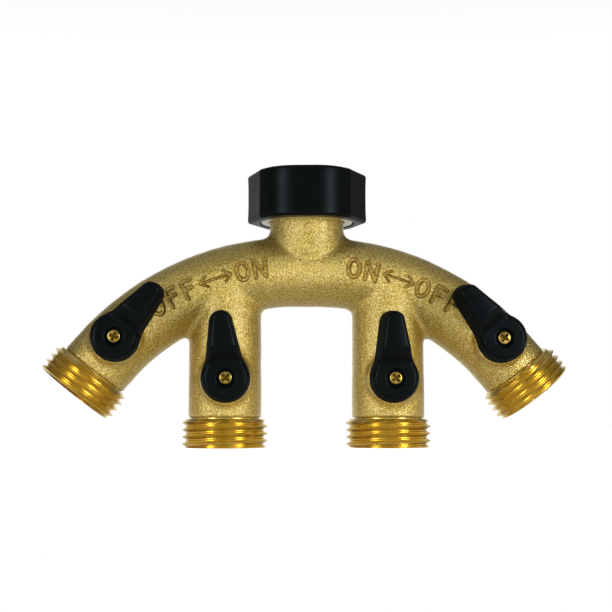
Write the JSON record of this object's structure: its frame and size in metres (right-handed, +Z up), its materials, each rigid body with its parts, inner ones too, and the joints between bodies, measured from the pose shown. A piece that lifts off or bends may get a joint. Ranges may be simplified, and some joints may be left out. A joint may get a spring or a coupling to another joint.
{
  "type": "hose splitter",
  "caption": "Arched brass garden-hose splitter with a swivel tap nut and lever-operated ball valves on male hose-thread outlets.",
  "frame": {"origin": "middle of the bounding box at the level of the straight outlets' end faces", "axes": "+X across the outlets, +Y away from the levers, +Z up through the tap nut"},
  "size_m": [0.1639, 0.043, 0.0863],
  "materials": {
    "cast_brass": "matte grainy sand-cast surface",
    "turned_brass": "machined, satin to bright",
    "black_plastic": "semi-gloss moulded",
    "light_metal": "satin turned",
    "spring_steel": "bright spring wire",
    "polished_ball": "polished plating",
    "white_seat": "waxy",
    "black_rubber": "matt"
  },
  "bodies": {
    "manifold": {"manifold_body": "cast_brass", "retaining_ring": "spring_steel", "outlet_nipple_left_outer": "turned_brass", "seat_inner_left_outer": "white_seat", "seat_outer_left_outer": "white_seat", "outlet_nipple_left_inner": "turned_brass", "seat_inner_left_inner": "white_seat", "seat_outer_left_inner": "white_seat", "outlet_nipple_right_inner": "turned_brass", "seat_inner_right_inner": "white_seat", "seat_outer_right_inner": "white_seat", "outlet_nipple_right_outer": "turned_brass", "seat_inner_right_outer": "white_seat", "seat_outer_right_outer": "white_seat"},
    "swivel": {"swivel_nut": "black_plastic", "nut_thread_insert": "light_metal", "inlet_washer": "black_rubber"},
    "valve_left_outer": {"valve_ball_left_outer": "polished_ball", "valve_stem_left_outer": "turned_brass", "stem_oring_left_outer": "black_rubber", "handle_left_outer": "black_plastic", "handle_screw_left_outer": "turned_brass"},
    "valve_left_inner": {"valve_ball_left_inner": "polished_ball", "valve_stem_left_inner": "turned_brass", "stem_oring_left_inner": "black_rubber", "handle_left_inner": "black_plastic", "handle_screw_left_inner": "turned_brass"},
    "valve_right_inner": {"valve_ball_right_inner": "polished_ball", "valve_stem_right_inner": "turned_brass", "stem_oring_right_inner": "black_rubber", "handle_right_inner": "black_plastic", "handle_screw_right_inner": "turned_brass"},
    "valve_right_outer": {"valve_ball_right_outer": "polished_ball", "valve_stem_right_outer": "turned_brass", "stem_oring_right_outer": "black_rubber", "handle_right_outer": "black_plastic", "handle_screw_right_outer": "turned_brass"}
  },
  "joints": [
    {"name": "swivel_turn", "type": "hinge", "parent": "manifold", "child": "swivel", "pos_m": [0, 0.00248, 0.0784], "axis": [0, 0, 1], "continuous": true},
    {"name": "lever_left_outer", "type": "hinge", "parent": "manifold", "child": "valve_left_outer", "pos_m": [-0.05904, 0.00248, 0.03357], "axis": [0, -1, 0], "range_deg": [0, 90]},
    {"name": "lever_left_inner", "type": "hinge", "parent": "manifold", "child": "valve_left_inner", "pos_m": [-0.0257, 0.00248, 0.0213], "axis": [0, -1, 0], "range_deg": [0, 90]},
    {"name": "lever_right_inner", "type": "hinge", "parent": "manifold", "child": "valve_right_inner", "pos_m": [0.0257, 0.00248, 0.0213], "axis": [0, 1, 0], "range_deg": [0, 90]},
    {"name": "lever_right_outer", "type": "hinge", "parent": "manifold", "child": "valve_right_outer", "pos_m": [0.05904, 0.00248, 0.03357], "axis": [0, 1, 0], "range_deg": [0, 90]}
  ]
}
